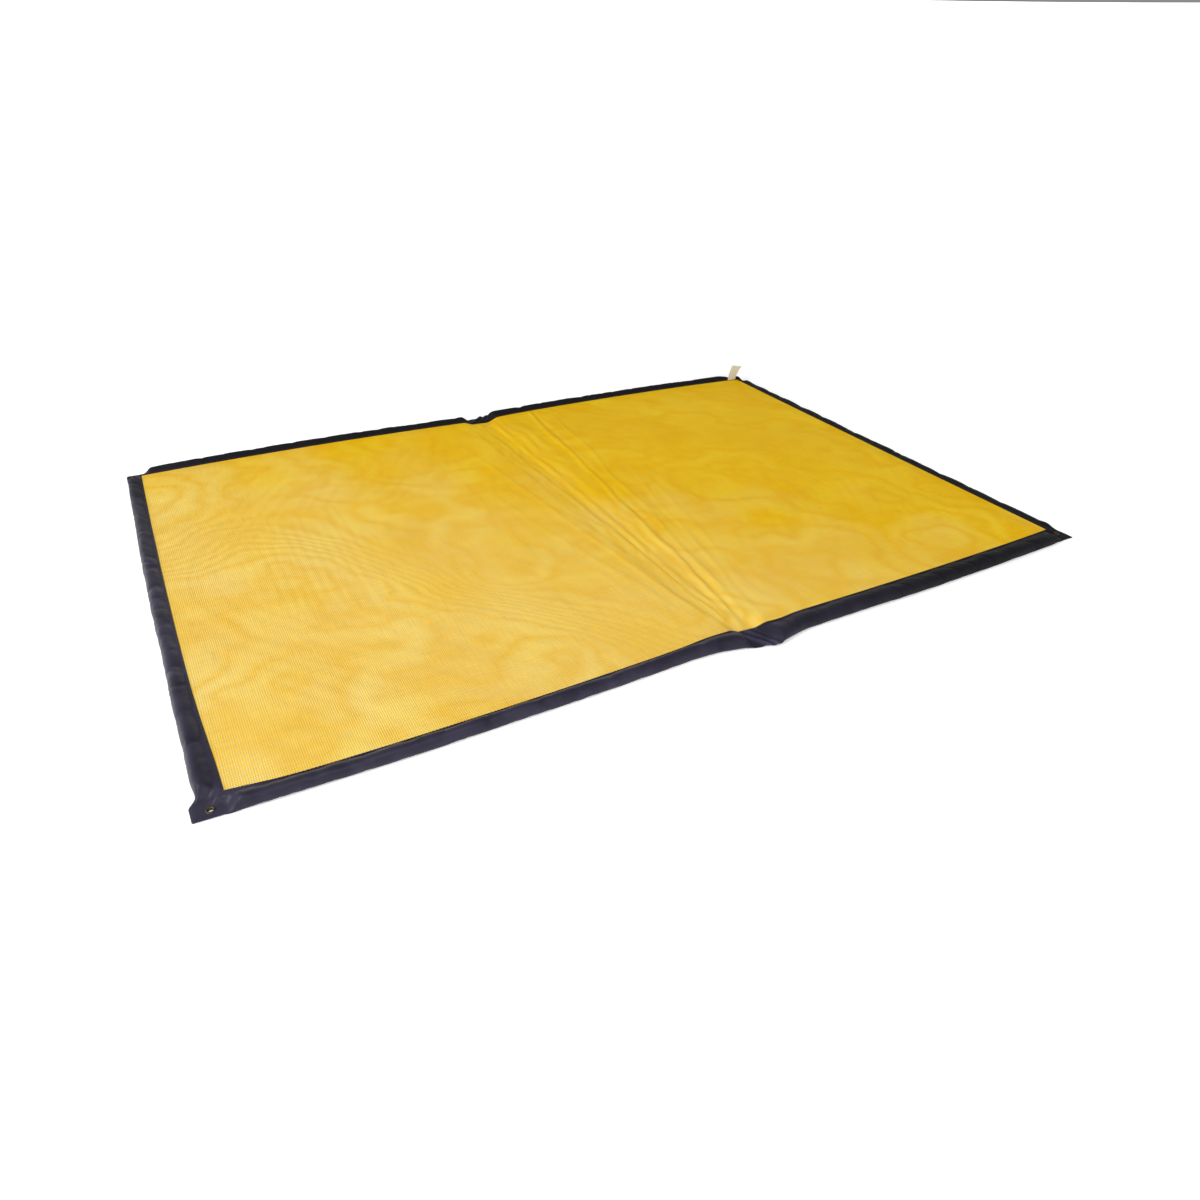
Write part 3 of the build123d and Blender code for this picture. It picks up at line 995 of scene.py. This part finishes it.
# %% Foam rods
def foam_rod(node):
    """A drum along x, cut into short lengths, whose round is laid on the rings and then drawn in."""
    sides, lengths, drawn_in = 20, 60, 0.74
    drum = bpy.ops.mesh.primitive_cylinder_add
    rod = start(node.replace("bund", "rod"), drum, vertices=sides, depth=2, rotation=(0, math.pi / 2, 0))
    set_place(rod)
    edit(rod)
    bpy.ops.mesh.select_all(action="DESELECT")
    shape = bmesh.from_edit_mesh(rod.data)
    for line in shape.edges:
        line.select = abs(line.verts[0].co.x - line.verts[1].co.x) > 1
    bmesh.update_edit_mesh(rod.data)
    bpy.ops.mesh.subdivide(number_cuts=lengths)
    done()
    share, across, up = read(rod).T
    ring = lip + np.rint((np.arctan2(across, up) / (2 * math.pi) + 0.5) * sides).astype(int) % sides
    low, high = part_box(node)
    middle, reach = (low + high) / 2, (high - low) / 2 - Vector((14 * mm, 14 * mm, 0))
    if "end" in node:
        x, y = np.full(len(share), math.copysign(seam_x, low.x)), middle.y + share * reach.y
    else:
        x, y = middle.x + share * reach.x, np.full(len(share), math.copysign(seam_y, low.y))
    placed, _ = on_border(x, y, ring)
    station = np.rint((share + 1) / 2 * (lengths + 1)).astype(int)
    centre = np.array([placed[station == number].mean(0) for number in range(lengths + 2)])[station]
    taper = 0.3 + 0.7 * (1 - np.abs(share) ** 60) ** 0.5
    write(rod, centre + (placed - centre) * (drawn_in * taper)[:, None])
    edit(rod)
    bpy.ops.mesh.normals_make_consistent(inside=False)
    done()
    dress(rod, "foam")
    round_off(rod, 50)
    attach(rod, "left_panel" if node.endswith("left") else "right_panel")
    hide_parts(node)


foam_nodes = sorted(name for name in frame["nodes"] if name.startswith("foam_bund"))
for node in foam_nodes:
    foam_rod(node)
print("foam rods:", len(foam_nodes))

# %% [markdown]
# ## Stitches
#
# A single row of black stitches holds the lip down. One stitch is a small rounded bead with few faces; it
# is copied along the seam every few millimetres, at the lip's own height, and each half's stitches become
# one piece.

# %% Stitch rows
stitch_pitch, fold_gap = 4.6 * mm, 20.5 * mm
bead_size = (1.8 * mm, 0.6 * mm, 0.5 * mm)
bead = start("stitch", bpy.ops.mesh.primitive_uv_sphere_add, segments=8, ring_count=5, radius=1)
edit(bead)
bpy.ops.transform.resize(value=bead_size, center_override=(0, 0, 0))
done()
bead_points = read(bead)
bead_faces = [tuple(face.vertices) for face in bead.data.polygons]
bpy.data.objects.remove(bead)


def stitch_row(side, sign):
    """One half's stitches, as one piece: the two long seams up to the fold, and the end seam."""
    rows = []
    run_x = np.arange(fold_gap, seam_x - 3 * mm, stitch_pitch) * sign
    run_y = np.arange(-seam_y + 4 * mm, seam_y - 3 * mm, stitch_pitch)
    for edge_y in (-seam_y, seam_y):
        rows.append((run_x, np.full(len(run_x), edge_y), 0.0))
    rows.append((np.full(len(run_y), sign * seam_x), run_y, math.pi / 2))
    corners, faces = [], []
    for x, y, heading in rows:
        place, _ = on_border(x, y, np.full(len(x), lip))
        turned = np.array(Matrix.Rotation(heading, 3, "Z")) @ bead_points.T
        for spot in place:
            faces += [tuple(v + len(corners) * len(bead_points) for v in face) for face in bead_faces]
            corners.append(turned.T + spot)
    row = bpy.data.meshes.new(f"stitches_{side}")
    row.from_pydata(np.concatenate(corners).tolist(), [], faces)
    piece = bpy.data.objects.new(row.name, row)
    scene.collection.objects.link(piece)
    dress(piece, "thread")
    round_off(piece, 80)
    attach(piece, f"{side}_panel")
    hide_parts(*[n for n in frame["nodes"] if n.startswith("seam_thread") and n.endswith(side)])
    print(piece.name, len(corners), "stitches")


stitch_row("left", -1)
stitch_row("right", 1)

# %% [markdown]
# ## Care label
#
# A cream tape is folded in half and its two ends are caught in the seam at the back right. It stands up,
# leans and twists a little. It is a narrow grid rolled over the fold: the first half of its length goes up,
# the rest comes down.

# %% Label
low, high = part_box("care_label")
tape_width, tape_length, tape_wall = high.x - low.x, 2 * 0.039, 0.3 * mm
tape = start("care_tape", bpy.ops.mesh.primitive_grid_add, x_subdivisions=12, y_subdivisions=60, size=2)
wide, long, _ = read(tape).T
root = hinge["label_tip"]
climb = np.sqrt((1 - np.abs(long)) ** 2 + 0.0004)
layer = np.copysign(smooth(np.abs(long) / 0.06), long)
gap = layer * (0.5 + 1.0 * np.sin(np.clip(climb, 0, 1) * math.pi * 0.75) ** 2) * mm
up = root.z + climb * tape_length / 2 * (0.84 - 0.03 * wide * climb)
twist = -0.4 * climb**1.3
side = wide * tape_width / 2 + layer * 1.2 * mm * climb
x = root.x - 6 * mm + side * np.cos(twist) - gap * np.sin(twist) + 20 * mm * climb**1.3
lean = (4.2 * climb - 1 + 1.5 * np.sin(3 * climb)) * mm + tape_width / 2 * np.abs(np.sin(twist))
y = root.y + lean + side * np.sin(twist) + gap * np.cos(twist)
write(tape, np.column_stack([x, y, up]))
give_wall(tape, tape_wall, 0)
dress(tape, "label")
round_off(tape, 60)
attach(tape, "label_flap")
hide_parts("care_label")
print("label tape", round(tape_width, 4), "by", round(tape_length, 4), "before it is folded")

# %% [markdown]
# ## Floor, light and camera
#
# A pale sweep, a soft light from the left and one from the front, and a sky that is brighter on the left.
# The camera looks down along the mat from its front left, with a short lens.

# %% Floor, light and camera
floor_radius, rim_height = 14, 1.6
floor = start("floor", bpy.ops.mesh.primitive_circle_add, vertices=96, radius=floor_radius, fill_type="NGON")
edit(floor)
bpy.ops.mesh.select_mode(type="EDGE")
bpy.ops.mesh.extrude_edges_indiv()
bpy.ops.transform.translate(value=(0, 0, rim_height))
done()
floor_finish, tree, shader = new_finish("pale_floor", 0.9)
shader.inputs["Base Color"].default_value = (0.96, 0.96, 0.96, 1)
shader.inputs["Specular IOR Level"].default_value = 0.1
shader.inputs["Emission Color"].default_value = (1, 1, 1, 1)
add, _, join = nodes_of(tree)
away = add("ShaderNodeVectorMath", operation="LENGTH")
join(add("ShaderNodeTexCoord").outputs["Object"], away.inputs[0])
glow = add("ShaderNodeMapRange", interpolation_type="SMOOTHSTEP")
for socket, value in (("From Min", 0.9), ("From Max", 2.4), ("To Min", 0.30), ("To Max", 0.75)):
    glow.inputs[socket].default_value = value
join(away.outputs["Value"], glow.inputs["Value"])
join(glow.outputs[0], shader.inputs["Emission Strength"])
floor.data.materials.append(floor_finish)
floor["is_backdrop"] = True

world = bpy.data.worlds.new("studio")
world.use_nodes = True
add, _, join = nodes_of(world.node_tree)
split = add("ShaderNodeSeparateXYZ")
join(add("ShaderNodeTexCoord").outputs["Generated"], split.inputs[0])
sky = add("ShaderNodeMapRange", interpolation_type="SMOOTHSTEP")
for socket, value in (("From Min", -0.7), ("From Max", 0.8), ("To Min", 0.77), ("To Max", 0.25)):
    sky.inputs[socket].default_value = value
join(split.outputs["X"], sky.inputs["Value"])
background = world.node_tree.nodes["Background"]
background.inputs["Color"].default_value = (1, 1, 1, 1)
join(sky.outputs[0], background.inputs["Strength"])
scene.world = world


def soft_light(name, place, target, size, power):
    lamp = bpy.data.lights.new(name, "AREA")
    lamp.size, lamp.energy = size, power
    holder = bpy.data.objects.new(name, lamp)
    holder.location = place
    holder.rotation_euler = (Vector(target) - Vector(place)).to_track_quat("-Z", "Y").to_euler()
    scene.collection.objects.link(holder)


soft_light("key", (-2.8, -0.5, 2.1), (-0.1, 0, 0), 1.2, 50)
soft_light("fill", (-0.3, -2.5, 2.3), (-0.1, 0, 0), 1.2, 21)

camera = bpy.data.objects.new("camera", bpy.data.cameras.new("camera"))
camera.data.lens = 25.0
camera.location = (-0.6991, -1.2540, 0.7150)
turn, dip, roll = (math.radians(a) for a in (30.6, 32.85, 2.24))
aim = Matrix.Rotation(-turn, 4, "Z") @ Matrix.Rotation(math.pi / 2 - dip, 4, "X")
aim = aim @ Matrix.Rotation(roll, 4, "Z")
camera.rotation_euler = aim.to_euler()
scene.collection.objects.link(camera)
scene.camera = camera
scene.view_settings.view_transform = "Standard"
print("camera at", tuple(round(v, 3) for v in camera.location), "with a", camera.data.lens, "mm lens")

# %% [markdown]
# ## Sizes
#
# Cloth may stand a little proud of the measured part, but not more. Both boxes are printed.

# %% Sizes
new_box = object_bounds()
for name, (low, high) in (("measured", cad_box), ("with the cloth", new_box)):
    print(name, "box", [round(top - bottom, 4) for bottom, top in zip(low, high)])
